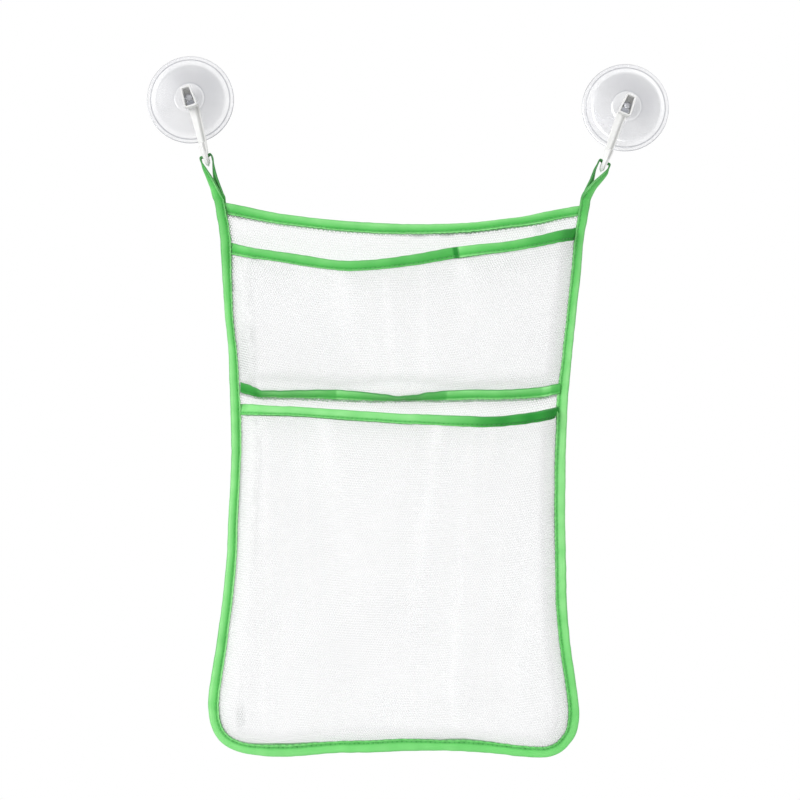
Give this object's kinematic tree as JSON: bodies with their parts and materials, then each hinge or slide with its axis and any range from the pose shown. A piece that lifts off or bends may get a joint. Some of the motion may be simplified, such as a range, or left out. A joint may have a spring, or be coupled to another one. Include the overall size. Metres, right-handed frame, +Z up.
{
  "type": "bath toy organizer",
  "caption": "Hanging net bath toy bag with stacked front pockets and folded tape binding, hung by tape loops from swivelling hooks on clear suction cups.",
  "frame": {"origin": "midway between the two suction cup axes, on the wall plane", "axes": "+Y into the wall, -Y towards the user, +Z up, +X to the right as the user faces the wall"},
  "size_m": [0.3547, 0.0244, 0.4744],
  "materials": {
    "clear_pvc": "clear soft vinyl, smooth and glossy",
    "white_plastic": "moulded white polypropylene, semi-gloss",
    "green_tape": "woven polyester binding tape, fine rib, satin sheen",
    "green_thread": "polyester sewing thread",
    "white_net": "white knitted polyester net, open holes about two millimetres apart"
  },
  "bodies": {
    "suction_cups": {"suction_cup_left": "clear_pvc", "suction_cup_right": "clear_pvc"},
    "hook_left": {"hook_left": "white_plastic"},
    "hook_right": {"hook_right": "white_plastic"},
    "loops": {"loop_left": "green_tape", "loop_right": "green_tape", "loop_stitching_left": "green_thread", "loop_stitching_right": "green_thread"},
    "bag": {"perimeter_binding": "green_tape", "top_binding": "green_tape", "upper_pocket_binding": "green_tape", "divider_binding": "green_tape", "lower_pocket_binding": "green_tape", "perimeter_stitching": "green_thread", "top_stitching": "green_thread", "upper_pocket_stitching": "green_thread", "divider_stitching": "green_thread", "lower_pocket_stitching": "green_thread", "back_panel": "white_net", "upper_pocket_panel": "white_net", "lower_pocket_panel": "white_net"}
  },
  "joints": [
    {"name": "left_hook_swivel", "type": "hinge", "parent": "suction_cups", "child": "hook_left", "pos_m": [-0.1478, 0, 0.0027], "axis": [0, -1, 0], "range_deg": [-9, 9]},
    {"name": "loops_on_hook", "type": "hinge", "parent": "hook_left", "child": "loops", "pos_m": [-0.1355, -0.0146, -0.03856], "axis": [0, -1, 0], "range_deg": [-10.2, 10.2]},
    {"name": "right_hook_swivel", "type": "hinge", "parent": "suction_cups", "child": "hook_right", "pos_m": [0.1479, 0, -0.0027], "axis": [0, -1, 0], "range_deg": [-9.5, 9.5]},
    {"name": "bag_swing", "type": "hinge", "parent": "loops", "child": "bag", "pos_m": [-0.003, -0.0125, -0.0668], "axis": [-1, 0, 0], "range_deg": [-1.5, 45]}
  ],
  "couplings": [
    {"joint": "loops_on_hook", "follows": "left_hook_swivel", "ratio": -1.1077},
    {"joint": "right_hook_swivel", "follows": "left_hook_swivel", "ratio": 1.0226}
  ]
}
